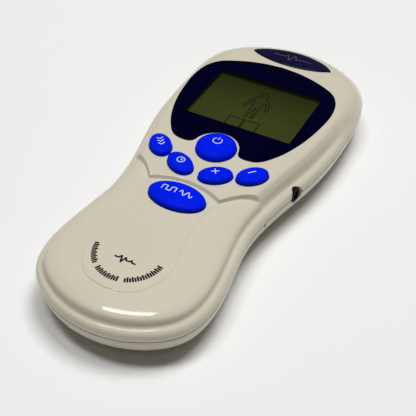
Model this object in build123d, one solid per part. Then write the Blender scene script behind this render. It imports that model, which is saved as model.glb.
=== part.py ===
from build123d import *
import math
import os

# Pocket TENS unit lying on its back, in millimetres.
# Origin: middle of the footprint, on the resting plane.  +Z is out of the key
# face, +Y towards the display end, +X towards the side jack.

# ---- driving dimensions ------------------------------------------------------
HALF_LENGTH = 78.2      # parting outline, along Y
HALF_WIDTH = 34.4       # widest, beside the display
FACE_Z = 20.0           # display and key plateau
GRIP_Z = 19.0           # lower, hand-held part of the face
PARTING_Z = 10.8        # plane where the two case halves meet
WALL = 2.2              # case wall
ROOF_Z = 17.6           # inside of the face
SHELL_GAP = 0.15        # visible line between the halves

PILLOW_INSET = 3.4      # face pillow stands this far inside the outline
PILLOW_ROUND = 2.4
RIM_TOP_Z = 14.4        # top of the bulging rim around the pillow
RIM_ROUND = 3.0
CAVITY_INSET = 5.2      # inside of the pillow wall
CAVITY_STEP_Z = 12.3    # below this the cavity widens into the rim

PLAN_POINTS = 44        # points that carry an inset outline

HULL_RUN = 7.0          # how far the underside pulls in
HULL_RISE = 7.2         # height over which it does so
FLOOR = 1.8             # underside wall

KEY_PLAY = 0.25         # key to hole, all round
KEY_CROWN = 0.85        # height of the key dome
KEY_PROUD = 1.25        # straight side of a key above the face
FLANGE = 0.45           # retaining flange around each key
FLANGE_Z = 16.6
FLANGE_THICK = 0.9
PILL_R = 2.0
PILL_THICK = 0.4

BOARD_Z = 13.7          # underside of the main board
BOARD_THICK = 1.6
BOARD_TOP = BOARD_Z + BOARD_THICK
MAT_THICK = 0.4

CELL_R = 5.25           # AAA cell
CELL_LEN = 44.5
CELL_PITCH = 10.8
CELL_Z = 7.1
BAY_X = 16.3            # battery bay, inside
BAY_Y0 = -64.5
BAY_Y1 = -16.0
BAY_TOP = 12.6
BAY_WALL = 1.2
DOOR_THICK = 1.3
DOOR_RECESS = 0.2       # door stands this far above the resting plane
DOOR_TOP = DOOR_RECESS + DOOR_THICK
DOOR_GAP = 0.2
TAB_WIDTH = 3.2         # hinge tabs of the door, between the cells
DOOR_LAP = 1.3          # ledge that the door closes against
DOOR_CORNER = 5.0

JACK_Z = 11.2
JACK_NOSE_R = 2.4
NOSE_PLAY = 0.5          # nose to case hole, all round
SIDE_BORE_R = 1.8       # 3.5 mm plug
OUT_BORE_R = 1.3        # 2.5 mm plug
SIDE_JACK_Y = 2.5
OUT_JACK_X = 10.0

LENS_TOP = 20.15
LENS_THICK = 1.2
VIEW = (-20.5, 17.7, 20.5, 46.7)      # clear window: x0, y0, x1, y1
GLASS = (-23.4, 15.0, 23.4, 50.4)     # display glass
GLASS_THICK = 1.1
GLASS_TOP = 18.3

CASE_SCREWS = [(-20.7, -56.0), (20.7, -56.0), (-19.5, 61.0), (19.5, 61.0)]
BOARD_SCREWS = [(-22.2, 8.5), (22.2, 8.5), (-9.5, 56.5), (9.5, 56.5)]

# centre x, centre y, half length, half width, turn in degrees, local face height
KEYS = {
    "on_off_key": (0.0, 1.56, 6.95, 6.95, 0.0, FACE_Z),
    "mode_key": (0.0, -25.15, 10.0, 5.8, 0.0, GRIP_Z),
    "time_key": (-6.6, -11.35, 5.75, 3.75, -31.5, FACE_Z),
    "strong_key": (6.6, -11.35, 5.75, 3.75, 31.5, FACE_Z),
    "channel_key": (-17.4, -6.05, 5.55, 3.75, -47.5, FACE_Z),
    "weak_key": (17.4, -6.05, 5.55, 3.75, 47.5, FACE_Z),
}

# right side of the parting outline, foot to top; a closed smooth curve joins both sides
OUTLINE = [(0, -HALF_LENGTH), (17.5, -73.6), (26.6, -65.2), (29.3, -54.2), (26.1, -25.0),
           (29.7, 0), (32.6, 13.0), (HALF_WIDTH, 43.0), (30.3, 63.1), (18.0, 73.8), (0, HALF_LENGTH)]


# ---- small helpers -----------------------------------------------------------
def slab(x0, y0, z0, x1, y1, z1):
    """Box between two corners."""
    middle = Pos((x0 + x1) / 2, (y0 + y1) / 2, (z0 + z1) / 2)
    return middle * Box(x1 - x0, y1 - y0, z1 - z0)


def post(x, y, z0, z1, radius):
    """Upright round bar."""
    return Pos(x, y, (z0 + z1) / 2) * Cylinder(radius, z1 - z0)


def bar_x(x0, x1, y, z, radius):
    """Round bar along X."""
    return Pos((x0 + x1) / 2, y, z) * Rot(0, 90, 0) * Cylinder(radius, x1 - x0)


def bar_y(x, y0, y1, z, radius):
    """Round bar along Y."""
    return Pos(x, (y0 + y1) / 2, z) * Rot(90, 0, 0) * Cylinder(radius, y1 - y0)


def prism(face, z0, z1):
    """Flat face pulled up from z0 to z1."""
    return extrude(Pos(0, 0, z0) * face, amount=z1 - z0, dir=(0, 0, 1))


def both_sides(edges):
    """Closed face from the right-hand edges and their mirror image."""
    right = Curve() + edges
    return make_face(right + mirror(right, about=Plane.YZ))


def plan(inset=0.0):
    """Case outline in plan; inset moves every point of it inwards, square to the curve."""
    left_side = [(-x, y) for x, y in reversed(OUTLINE[1:-1])]
    edge = Spline(*OUTLINE, *left_side, periodic=True)
    if inset:
        moved = []
        for n in range(PLAN_POINTS):
            along = n / PLAN_POINTS
            inward = (edge % along).rotate(Axis.Z, 90)
            moved.append((edge @ along) + inward * inset)
        edge = Spline(*moved, periodic=True)
    return make_face(edge)


def top_edges(shape):
    """Edges round the highest flat face."""
    return shape.faces().sort_by(Axis.Z)[-1].edges()


def key_face(key, grow=0.0):
    """Plan of one key, grown by grow."""
    x, y, half_length, half_width, turn, _ = KEYS[key]
    return Pos(x, y) * Rot(0, 0, turn) * Ellipse(half_length + grow, half_width + grow)


def save(shape, node):
    """Write one sub-part."""
    export_step(shape, "parts/" + node + ".step")


# ---- face features in plan ---------------------------------------------------
def lens_plan():
    """Display lens: broad head, tapering to two lobes that hug the round key."""
    head = Spline((0, 57.2), (13.4, 54.9), (23.8, 49.6), (28.0, 37.0), (25.4, 18.8),
                  (18.7, 4.3), (12.4, 0.8), tangents=[(1, 0), (-1, 0)])
    lobe = Spline((12.4, 0.8), (8.2, 2.6), tangents=[(-1, 0), (0, 1)])
    hug = ThreePointArc((8.2, 2.6), (5.8, 7.7), (0, 10.1))
    return both_sides([head, lobe, hug])


def badge_plan():
    """Almond badge between the lens and the far end."""
    upper = ThreePointArc((-16.4, 64.4), (0, 71.6), (16.4, 64.4))
    lower = ThreePointArc((16.4, 64.4), (0, 59.7), (-16.4, 64.4))
    almond = make_face(upper + lower)
    return fillet(almond.vertices(), 1.0)


def plateau_plan():
    """Raised display area; its lower edge is a chevron cut round the mode key."""
    wing = Polyline((0, 90), (45, 90), (45, -8.0), (23.6, -11.4), (12.9, -20.7))
    arch = ThreePointArc((12.9, -20.7), (7.4, -18.2), (0, -17.3))
    return both_sides([wing, arch])


# ---- case --------------------------------------------------------------------
def upper_case():
    """Front half: bulging rim, pillow face, plateau, and everything cut into it."""
    rim = prism(plan(), PARTING_Z, RIM_TOP_Z)
    rim = fillet(top_edges(rim), RIM_ROUND)
    pillow = prism(plan(PILLOW_INSET), PARTING_Z, FACE_Z)
    pillow = fillet(top_edges(pillow), PILLOW_ROUND)
    grip = Rectangle(3 * HALF_WIDTH, 3 * HALF_LENGTH) - plateau_plan()
    case = rim + pillow - prism(grip, GRIP_Z, FACE_Z + 1)

    case -= prism(plan(WALL), PARTING_Z - 1, CAVITY_STEP_Z)
    case -= prism(plan(CAVITY_INSET), PARTING_Z - 1, ROOF_Z)

    for x, y in CASE_SCREWS:
        case += post(x, y, PARTING_Z, ROOF_Z + 0.1, 2.6) - post(x, y, PARTING_Z - 1, 16.2, 1.25)
    for x, y in BOARD_SCREWS:
        case += post(x, y, BOARD_TOP, ROOF_Z + 0.1, 1.9) - post(x, y, BOARD_TOP - 1, 17.3, 0.95)

    for key in KEYS:
        case -= prism(key_face(key, KEY_PLAY), ROOF_Z - 1, FACE_Z + 1)
    case -= prism(lens_plan(), LENS_TOP - LENS_THICK, FACE_Z + 1)
    x0, y0, x1, y1 = VIEW
    case -= slab(x0 - 1, y0 - 1, ROOF_Z - 1, x1 + 1, y1 + 1, FACE_Z)
    x0, y0, x1, y1 = GLASS
    case -= slab(x0 - 0.2, y0 - 0.2, ROOF_Z - 1, x1 + 0.2, y1 + 0.2, GLASS_TOP)
    case -= prism(badge_plan(), FACE_Z - 0.6, FACE_Z + 1)
    case -= jack_holes()
    case -= jack_rooms()
    return case


def jack_holes():
    """Round holes in the side and end walls, split by the parting plane."""
    holes = bar_x(20, 40, SIDE_JACK_Y, JACK_Z, JACK_NOSE_R + NOSE_PLAY)
    for x in (-OUT_JACK_X, OUT_JACK_X):
        holes += bar_y(x, 60, 85, JACK_Z, JACK_NOSE_R + NOSE_PLAY)
    return holes


def jack_rooms():
    """Room behind the walls for the square bodies of the jacks."""
    low, high = JACK_Z - 2.5, BOARD_Z + 0.1
    rooms = slab(20, SIDE_JACK_Y - 4.2, low, 27.7, SIDE_JACK_Y + 4.2, high)
    for x in (-OUT_JACK_X, OUT_JACK_X):
        rooms += slab(x - 3.3, 60, low, x + 3.3, 74.2, high)
    return rooms


def hull(inset, floor_z, run, rise):
    """Boat-shaped lower body: straight band over a long chamfer with soft edges."""
    body = prism(plan(inset), floor_z, PARTING_Z - SHELL_GAP)
    foot = body.faces().sort_by(Axis.Z)[0].edges()
    return chamfer(foot, rise, run)


def lower_case():
    """Back half with the battery bay, screw bosses and the locating lip."""
    case = hull(0.1, 0, HULL_RUN, HULL_RISE)
    case -= hull(WALL, FLOOR, HULL_RUN - 0.8, HULL_RISE - 0.8)
    case += prism(plan(WALL - 0.3) - plan(WALL + 1.0), PARTING_Z - 2.0, PARTING_Z - SHELL_GAP)
    case += prism(plan(WALL + 0.1) - plan(WALL + 1.0), PARTING_Z - 1.0, PARTING_Z + 1.2)

    case += slab(-BAY_X - BAY_WALL, BAY_Y0 - BAY_WALL, 0.5, BAY_X + BAY_WALL, BAY_Y1 + BAY_WALL,
                 BAY_TOP + 1.0)
    case -= slab(-BAY_X, BAY_Y0, -1, BAY_X, BAY_Y1, BAY_TOP)
    case -= prism(door_plan(DOOR_GAP), -1, DOOR_TOP + 0.05)
    for x in (-CELL_PITCH / 2, CELL_PITCH / 2):
        left, right = x - TAB_WIDTH / 2 - 0.3, x + TAB_WIDTH / 2 + 0.3
        case -= slab(left, BAY_Y0 - 3.6, FLOOR, right, BAY_Y0 + 1, 3.9)
        case -= slab(left, BAY_Y0 - DOOR_LAP, 1.0, right, BAY_Y0 + 1, FLOOR + 0.1)

    for x, y in CASE_SCREWS:
        case += post(x, y, 0.6, PARTING_Z - SHELL_GAP, 3.0)
        case -= post(x, y, -1, 5.0, 2.4)
        case -= post(x, y, -1, PARTING_Z, 1.4)
    case -= jack_holes()
    case -= jack_rooms()
    return case


def door_plan(grow=0.0):
    """Rounded rectangle of the battery door."""
    width = 2 * (BAY_X + DOOR_LAP - DOOR_GAP)
    length = BAY_Y1 - BAY_Y0 + 2 * (DOOR_LAP - DOOR_GAP)
    middle_y = (BAY_Y0 + BAY_Y1) / 2
    return Pos(0, middle_y) * RectangleRounded(width + 2 * grow, length + 2 * grow, DOOR_CORNER)


def battery_door():
    """Door with two hinge tabs at the foot and a latch arm at the other end."""
    door = prism(door_plan(), DOOR_RECESS, DOOR_TOP)
    for x in (-CELL_PITCH / 2, CELL_PITCH / 2):
        left, right = x - TAB_WIDTH / 2, x + TAB_WIDTH / 2
        door += slab(left, BAY_Y0 + 0.2, DOOR_TOP - 0.2, right, BAY_Y0 + 1.4, 2.9)
        door += slab(left, BAY_Y0 - 3.1, 2.0, right, BAY_Y0 + 1.4, 2.9)
    wall_y = BAY_Y1 - 0.3
    door += slab(-3.0, wall_y - 1.0, DOOR_TOP - 0.2, 3.0, wall_y, 1.8)
    scoop = Pos(0, BAY_Y1 - 5.0, DOOR_RECESS - 8.3) * Sphere(9.0)
    return door - scoop


def door_foam():
    """Two soft strips that steady the cells, one in each valley between them."""
    strips = [slab(x - 1.5, -52, DOOR_TOP, x + 1.5, -28, 2.9) for x in (-CELL_PITCH / 2, CELL_PITCH / 2)]
    return Compound(strips)


def rating_label():
    """Thin label on the outside of the door."""
    return prism(Pos(0, -43.0) * RectangleRounded(25.0, 22.0, 1.5), DOOR_RECESS - 0.12, DOOR_RECESS)


# ---- window and badge --------------------------------------------------------
def display_lens():
    """Tinted window glued into its recess."""
    return prism(lens_plan(), LENS_TOP - LENS_THICK, LENS_TOP)


def badge_plate():
    """Badge glued into its recess."""
    badge = prism(badge_plan(), FACE_Z - 0.6, FACE_Z + 0.5)
    return fillet(top_edges(badge), 0.4)


# ---- keys --------------------------------------------------------------------
def key_cap(key):
    """Domed cap with a flange that the face holds in."""
    x, y, half_length, _, _, face_z = KEYS[key]
    crown_z = face_z + KEY_PROUD + KEY_CROWN
    ball_r = (half_length ** 2 + KEY_CROWN ** 2) / (2 * KEY_CROWN)
    cap = prism(key_face(key), FLANGE_Z, crown_z + 1)
    cap &= Pos(x, y, crown_z - ball_r) * Sphere(ball_r)
    rim = cap.faces().sort_by(Axis.Z)[-1].edges()
    cap = fillet(rim, 0.45)
    return cap + prism(key_face(key, FLANGE), FLANGE_Z, FLANGE_Z + FLANGE_THICK)


def pill(key):
    """Conductive rubber pill under a key."""
    x, y = KEYS[key][:2]
    return post(x, y, FLANGE_Z - PILL_THICK, FLANGE_Z, PILL_R)


def keypad_mat():
    """Silicone sheet on the board, open round every pill."""
    mat = prism(plan(7.4) & Pos(0, -14.5) * Rectangle(60, 37), BOARD_TOP, BOARD_TOP + MAT_THICK)
    for x, y, *_ in KEYS.values():
        mat -= post(x, y, BOARD_TOP - 1, BOARD_TOP + 1, PILL_R + 0.6)
    return mat


# ---- display -----------------------------------------------------------------
def front_glass():
    """Upper glass of the display."""
    x0, y0, x1, y1 = GLASS
    return slab(x0, y0, GLASS_TOP - GLASS_THICK, x1, y1, GLASS_TOP)


def rear_glass():
    """Lower glass, shorter at the connector edge."""
    x0, y0, x1, y1 = GLASS
    return slab(x0, y0 + 3.0, GLASS_TOP - 2 * GLASS_THICK, x1, y1, GLASS_TOP - GLASS_THICK)


def zebra_strip():
    """Rubber connector between the glass ledge and the board."""
    x0, y0, x1, _ = GLASS
    return slab(x0 + 1.5, y0 + 0.4, BOARD_TOP, x1 - 1.5, y0 + 2.4, GLASS_TOP - GLASS_THICK)


def lcd_frame():
    """Moulded frame that holds the glass square on the board."""
    x0, y0, x1, y1 = GLASS
    outer = slab(x0 - 1.4, y0 - 1.4, BOARD_TOP, x1 + 1.4, y1 + 1.4, ROOF_Z - 0.1)
    return outer - slab(x0 - 0.1, y0 - 0.1, BOARD_TOP - 1, x1 + 0.1, y1 + 0.1, ROOF_Z)


# ---- batteries ---------------------------------------------------------------
CELL_Y0 = BAY_Y0 + 0.3
CELL_Y1 = BAY_Y1 - 0.3
SPRING_ROOM = CELL_Y1 - CELL_Y0 - CELL_LEN
CELLS = {"cell_left": (-CELL_PITCH, 1), "cell_middle": (0, -1), "cell_right": (CELL_PITCH, 1)}


def cell(x, nub_way):
    """AAA cell; the nub end touches its plate, the flat end leaves room for the spring."""
    nub_y = CELL_Y1 if nub_way > 0 else CELL_Y0
    flat_y = nub_y - nub_way * CELL_LEN
    shoulder_y = nub_y - nub_way * 0.9
    low, high = sorted((flat_y, shoulder_y))
    can = bar_y(x, low, high, CELL_Z, CELL_R)
    can = fillet(can.edges(), 0.4)
    low, high = sorted((shoulder_y - nub_way * 0.2, nub_y))
    return can + bar_y(x, low, high, CELL_Z, 1.9)


def cell_springs():
    """Coil springs at the flat end of each cell."""
    springs = []
    wire_r = 0.3
    for x, nub_way in CELLS.values():
        base_y = CELL_Y0 if nub_way > 0 else CELL_Y1
        coil = Helix(pitch=0.75, height=SPRING_ROOM - 2.4 * wire_r, radius=2.8)
        ring = Plane(origin=coil @ 0, z_dir=coil % 0) * Circle(wire_r)
        spring = Pos(0, 0, 1.2 * wire_r) * sweep(ring, path=coil)
        springs.append(Pos(x, base_y, CELL_Z) * Rot(-90 * nub_way, 0, 0) * spring)
    return Compound([s.solid() for s in springs])


def cell_plates():
    """Nickel plates on the end walls; the ends of the chain have tails to the board."""
    plates = []
    for x, nub_way in CELLS.values():
        for y0, y1 in ((BAY_Y0, CELL_Y0), (CELL_Y1, BAY_Y1)):
            plates.append(slab(x - 3.6, y0, CELL_Z - 3.6, x + 3.6, y1, CELL_Z + 4.6))
    foot_bridge = slab(-3, BAY_Y0, CELL_Z + 1, CELL_PITCH + 3, CELL_Y0, CELL_Z + 3)
    head_bridge = slab(-CELL_PITCH - 3, CELL_Y1, CELL_Z + 1, 3, BAY_Y1, CELL_Z + 3)
    return Compound((Part() + plates + foot_bridge + head_bridge).solids())


# ---- jacks -------------------------------------------------------------------
def side_jack():
    """3.5 mm socket soldered under the board, its nose in the side wall."""
    body = slab(15.0, SIDE_JACK_Y - 4.0, JACK_Z - 2.4, 27.5, SIDE_JACK_Y + 4.0, BOARD_Z)
    body += bar_x(27.4, 29.2, SIDE_JACK_Y, JACK_Z, JACK_NOSE_R)
    return body - bar_x(17.2, 30, SIDE_JACK_Y, JACK_Z, SIDE_BORE_R)


def output_jack(x):
    """2.5 mm socket for one electrode lead, its nose in the end wall."""
    body = slab(x - 3.1, 62.3, JACK_Z - 2.4, x + 3.1, 74.0, BOARD_Z)
    body += bar_y(x, 73.9, 76.0, JACK_Z, JACK_NOSE_R)
    return body - bar_y(x, 66.0, 80, JACK_Z, OUT_BORE_R)


def jack_leaves():
    """Spring leaves on the closed end of each jack, bent over to the board."""
    leaves = [slab(14.6, SIDE_JACK_Y - 1.2, JACK_Z - 2.0, 15.0, SIDE_JACK_Y + 1.2, BOARD_Z)]
    for x in (-OUT_JACK_X, OUT_JACK_X):
        leaves.append(slab(x - 1.2, 61.9, JACK_Z - 2.0, x + 1.2, 62.3, BOARD_Z))
    return Compound(leaves)


# ---- screws ------------------------------------------------------------------
def pan_screw(x, y, seat_z, head_r, head_h, shank_r, shank_len):
    """Cross-head screw driven upwards; seat_z is under the head."""
    head = post(x, y, seat_z - head_h, seat_z, head_r)
    head = fillet(head.edges().sort_by(Axis.Z)[0], head_h * 0.4)
    screw = head + post(x, y, seat_z, seat_z + shank_len, shank_r)
    for turn in (0, 90):
        screw -= Pos(x, y, seat_z - head_h) * Rot(0, 0, turn) * Box(head_r * 1.1, 0.45, 1.2)
    return screw


def case_screws():
    """Four screws from the back into the front half."""
    return Compound([pan_screw(x, y, 5.0, 2.1, 1.5, 1.2, 10.5).solid() for x, y in CASE_SCREWS])


def board_screws():
    """Four small screws that hold the board to the front half."""
    return Compound([pan_screw(x, y, BOARD_Z, 1.7, 1.1, 0.9, 3.3).solid() for x, y in BOARD_SCREWS])


# ---- electronics -------------------------------------------------------------
def main_board():
    """Circuit board that follows the case, from the mode key to the output jacks."""
    board = prism(plan(6.8) & Pos(0, 17.5) * Rectangle(70, 101), BOARD_Z, BOARD_TOP)
    for x, y in CASE_SCREWS:
        board -= post(x, y, BOARD_Z - 1, BOARD_TOP + 1, 2.9)
    for x, y in BOARD_SCREWS:
        board -= post(x, y, BOARD_Z - 1, BOARD_TOP + 1, 1.0)
    return board


def contact_pads():
    """Gold pads under the pills."""
    pads = [post(x, y, BOARD_TOP, BOARD_TOP + 0.05, 1.8) for x, y, *_ in KEYS.values()]
    return Compound(pads)


TRANSFORMER = (0, 4.0)
CORE_Z = BOARD_Z - 11.0


def transformer_core():
    """Laminated E and I core, standing on its bobbin pins under the board."""
    x, y = TRANSFORMER
    core = slab(x - 7.5, y - 2.5, CORE_Z, x + 7.5, y + 2.5, BOARD_Z - 0.6)
    for side in (-1, 1):
        near, far = sorted((x + side * 2.0, x + side * 5.2))
        core -= slab(near, y - 3, CORE_Z + 2.4, far, y + 3, BOARD_Z - 3.0)
    return core


def transformer_bobbin():
    """Plastic former round the middle leg."""
    x, y = TRANSFORMER
    low, high = CORE_Z + 2.4, BOARD_Z - 3.0
    former = slab(x - 2.8, y - 3.3, low, x + 2.8, y + 3.3, high)
    for z0, z1 in ((low, low + 0.6), (high - 0.6, high)):
        former += slab(x - 5.1, y - 5.6, z0, x + 5.1, y + 5.6, z1)
    return former - slab(x - 2.05, y - 2.55, low - 1, x + 2.05, y + 2.55, high + 1)


def transformer_winding():
    """Copper winding between the cheeks of the former."""
    x, y = TRANSFORMER
    low, high = CORE_Z + 3.0, BOARD_Z - 3.6
    coil = slab(x - 4.8, y - 5.3, low, x + 4.8, y + 5.3, high)
    coil = fillet(coil.edges().filter_by(Axis.Z), 1.5)
    return coil - slab(x - 2.85, y - 3.35, low - 1, x + 2.85, y + 3.35, high + 1)


def capacitors():
    """Three electrolytic cans hanging from the board."""
    cans = []
    for x, y in ((14.0, 22.0), (21.0, 22.0), (17.5, 29.0)):
        can = post(x, y, BOARD_Z - 8.5, BOARD_Z, 3.15)
        cans.append(fillet(can.edges().sort_by(Axis.Z)[0], 0.5).solid())
    return Compound(cans)


def transistors():
    """Four TO-92 output transistors in a row."""
    row = []
    for n in range(4):
        x = -18.0 + 6.0 * n
        body = post(x, 17.0, BOARD_Z - 5.0, BOARD_Z, 2.4) - slab(x - 3, 18.4, 0, x + 3, 20, BOARD_Z + 1)
        row.append(body.solid())
    return Compound(row)


PROCESSOR = (0, 41.0)


def processor():
    """Controller chip under the board."""
    x, y = PROCESSOR
    chip = slab(x - 9.0, y - 3.75, BOARD_Z - 2.5, x + 9.0, y + 3.75, BOARD_Z - 0.2)
    return chamfer(chip.faces().sort_by(Axis.Z)[0].edges(), 0.3)


def processor_leads():
    """Two rows of fourteen leads."""
    x, y = PROCESSOR
    leads = []
    for n in range(14):
        lead_x = x + (n - 6.5) * 1.27
        for near, far in ((y - 5.1, y - 3.75), (y + 3.75, y + 5.1)):
            leads.append(slab(lead_x - 0.2, near, BOARD_Z - 1.3, lead_x + 0.2, far, BOARD_Z))
    return Compound(leads)


def crystal():
    """Metal-can crystal beside the chip."""
    can = slab(13.0, 39.3, BOARD_Z - 3.5, 23.0, 43.0, BOARD_Z)
    return fillet(can.edges().filter_by(Axis.Z), 1.7)


def resistors():
    """Twelve chip resistors in two rows."""
    chips = []
    for n in range(12):
        x = -11.0 + 4.0 * (n % 6)
        y = 50.0 + 3.0 * (n // 6)
        chips.append(slab(x - 1.0, y - 0.6, BOARD_Z - 0.5, x + 1.0, y + 0.6, BOARD_Z))
    return Compound(chips)


def buzzer():
    """Round buzzer with a sound hole."""
    can = post(-18.5, 31.0, BOARD_Z - 7.0, BOARD_Z, 6.0)
    can = fillet(can.edges().sort_by(Axis.Z)[0], 0.5)
    return can - post(-18.5, 31.0, BOARD_Z - 8.0, BOARD_Z - 4.0, 1.0)


# ---- write every sub-part ----------------------------------------------------
os.makedirs("parts", exist_ok=True)
save(upper_case(), "upper_case")
save(lower_case(), "lower_case")
save(battery_door(), "battery_door")
save(door_foam(), "door_foam")
save(rating_label(), "rating_label")
save(display_lens(), "display_lens")
save(badge_plate(), "badge_plate")
for key_name in KEYS:
    save(key_cap(key_name), key_name)
    save(pill(key_name), key_name.replace("_key", "_pill"))
save(keypad_mat(), "keypad_mat")
save(front_glass(), "lcd_front_glass")
save(rear_glass(), "lcd_rear_glass")
save(zebra_strip(), "zebra_strip")
save(lcd_frame(), "lcd_frame")
for cell_name, (cell_x, way) in CELLS.items():
    save(cell(cell_x, way), cell_name)
save(cell_springs(), "cell_springs")
save(cell_plates(), "cell_plates")
save(side_jack(), "side_jack")
save(output_jack(-OUT_JACK_X), "output_jack_a")
save(output_jack(OUT_JACK_X), "output_jack_b")
save(jack_leaves(), "jack_leaves")
save(case_screws(), "case_screws")
save(board_screws(), "board_screws")
save(main_board(), "main_board")
save(contact_pads(), "contact_pads")
save(transformer_core(), "transformer_core")
save(transformer_bobbin(), "transformer_bobbin")
save(transformer_winding(), "transformer_winding")
save(capacitors(), "capacitors")
save(transistors(), "transistors")
save(processor(), "processor")
save(processor_leads(), "processor_leads")
save(crystal(), "crystal")
save(resistors(), "resistors")
save(buzzer(), "buzzer")
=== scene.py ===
import math

import bmesh
import bpy
import numpy as np
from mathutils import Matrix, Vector
from mathutils.bvhtree import BVHTree


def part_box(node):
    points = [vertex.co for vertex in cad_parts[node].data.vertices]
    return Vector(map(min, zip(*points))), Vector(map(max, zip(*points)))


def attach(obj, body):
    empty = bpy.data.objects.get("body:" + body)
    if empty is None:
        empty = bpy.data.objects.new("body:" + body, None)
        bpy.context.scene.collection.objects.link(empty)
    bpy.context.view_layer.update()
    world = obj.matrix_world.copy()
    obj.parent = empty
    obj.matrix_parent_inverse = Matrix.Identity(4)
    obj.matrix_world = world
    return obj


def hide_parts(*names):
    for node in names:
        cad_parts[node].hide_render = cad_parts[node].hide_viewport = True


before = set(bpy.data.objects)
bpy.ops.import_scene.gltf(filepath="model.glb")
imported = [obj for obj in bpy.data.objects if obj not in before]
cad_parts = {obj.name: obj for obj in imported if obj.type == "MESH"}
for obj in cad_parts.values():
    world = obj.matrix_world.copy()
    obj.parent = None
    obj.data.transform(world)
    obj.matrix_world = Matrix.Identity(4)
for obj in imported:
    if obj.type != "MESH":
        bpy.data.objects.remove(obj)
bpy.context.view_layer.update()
MM = 0.001
scene = bpy.context.scene

# ---- camera ------------------------------------------------------------------
# The unit is seen from its foot and a little from the jack side, half way up,
# with a moderately long lens.
TARGET = Vector((11.46, -25.38, 20.0)) * MM
DISTANCE = 0.2507
FOCAL_LENGTH = 69.23    # millimetres, on the usual 36 mm sensor
NEAREST = 0.01
AZIMUTH, ELEVATION = math.radians(28.44), math.radians(43.5)
back = Vector((math.sin(AZIMUTH) * math.cos(ELEVATION),
               -math.cos(AZIMUTH) * math.cos(ELEVATION),
               math.sin(ELEVATION)))
camera = bpy.data.objects.new("camera", bpy.data.cameras.new("camera"))
camera.data.lens = FOCAL_LENGTH
camera.data.clip_start = NEAREST
camera.location = TARGET + back * DISTANCE
camera.rotation_mode = "QUATERNION"
camera.rotation_quaternion = (-back).to_track_quat("-Z", "Y")
scene.collection.objects.link(camera)
scene.camera = camera

# ---- table and studio --------------------------------------------------------
# A pale matt table under two soft lamps, one over the left side that shows in
# the gloss and one behind that doesn't, in a dim even room.
scene.view_settings.view_transform = "Standard"
room = bpy.data.worlds.new("room")
room.use_nodes = True
air = room.node_tree.nodes["Background"]
air.inputs["Color"].default_value = (1.0, 0.94, 0.84, 1)
air.inputs["Strength"].default_value = 0.05
scene.world = room


def softbox(name, place, size, watts):
    """Rectangular lamp at place, facing the unit; sizes in metres; gives back its object."""
    lamp = bpy.data.lights.new(name, "AREA")
    lamp.shape = "RECTANGLE"
    lamp.size, lamp.size_y = size
    lamp.energy = watts
    holder = bpy.data.objects.new(name, lamp)
    holder.location = place
    holder.rotation_mode = "QUATERNION"
    holder.rotation_quaternion = (-Vector(place)).to_track_quat("-Z", "Y")
    scene.collection.objects.link(holder)
    return holder


softbox("overhead", (-0.43, -0.12, 2.5), (0.43, 0.95), 23.6)
behind = softbox("behind", (0.25, 0.75, 2.3), (1.0, 1.0), 39.0)
behind.visible_glossy = False

REACH = 3.0
top = bpy.data.meshes.new("table")
corners = [(-REACH, -REACH, 0), (REACH, -REACH, 0), (REACH, REACH, 0), (-REACH, REACH, 0)]
top.from_pydata(corners, [], [(0, 1, 2, 3)])
table = bpy.data.objects.new("table", top)
scene.collection.objects.link(table)
paper = bpy.data.materials.new("table_paper")
paper.use_nodes = True
surface = paper.node_tree.nodes["Principled BSDF"]
surface.inputs["Base Color"].default_value = (0.86, 0.86, 0.86, 1)
surface.inputs["Roughness"].default_value = 0.9
top.materials.append(paper)

# ---- front case half ---------------------------------------------------------
# One ABS moulding: a bulging rim above the parting line, a groove, then the
# pillow of the face.  The display end is a raised plateau that ends in a
# chevron; the groove runs out before it reaches the far end.
FACE_Z, GRIP_Z, PARTING_Z, ROOF_Z = 20.0, 19.0, 10.8, 17.6
HALF_LENGTH, HALF_WIDTH = 78.2, 34.4
OUTLINE = [(0, -HALF_LENGTH), (17.5, -73.6), (26.6, -65.2), (29.3, -54.2), (26.1, -25.0),
           (29.7, 0), (32.6, 13.0), (HALF_WIDTH, 43.0), (30.3, 63.1), (18.0, 73.8), (0, HALF_LENGTH)]


OUTLINE_SAMPLES = 2400


def closed_curve(points, samples=OUTLINE_SAMPLES):
    """Smooth closed curve through the points, as even samples with their distance along it."""
    p = np.array(points, float)
    h = np.linalg.norm(np.roll(p, -1, 0) - p, axis=1)
    before = np.roll(h, 1)
    n = len(p)
    system = np.zeros((n, n))
    pull = np.zeros((n, 2))
    for i in range(n):
        system[i, i - 1] = 1 / before[i]
        system[i, i] = 2 / before[i] + 2 / h[i]
        system[i, (i + 1) % n] = 1 / h[i]
        pull[i] = 3 * ((p[i] - p[i - 1]) / before[i] ** 2 + (p[(i + 1) % n] - p[i]) / h[i] ** 2)
    slope = np.linalg.solve(system, pull)
    dense = []
    for i in range(n):
        j = (i + 1) % n
        for t in np.linspace(0, 1, 60, endpoint=False):
            dense.append((2 * t ** 3 - 3 * t ** 2 + 1) * p[i] + (t ** 3 - 2 * t ** 2 + t) * h[i] * slope[i]
                         + (3 * t ** 2 - 2 * t ** 3) * p[j] + (t ** 3 - t ** 2) * h[i] * slope[j])
    dense = np.array(dense + [dense[0]])
    run = np.concatenate([[0], np.cumsum(np.linalg.norm(np.diff(dense, axis=0), axis=1))])
    even = np.linspace(0, run[-1], samples + 1)
    return even, np.stack([np.interp(even, run, dense[:, k]) for k in (0, 1)], 1)


RUN, RIM = closed_curve(OUTLINE + [(-x, y) for x, y in reversed(OUTLINE[1:-1])])
HALF_RUN = RUN[-1] / 2


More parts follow.
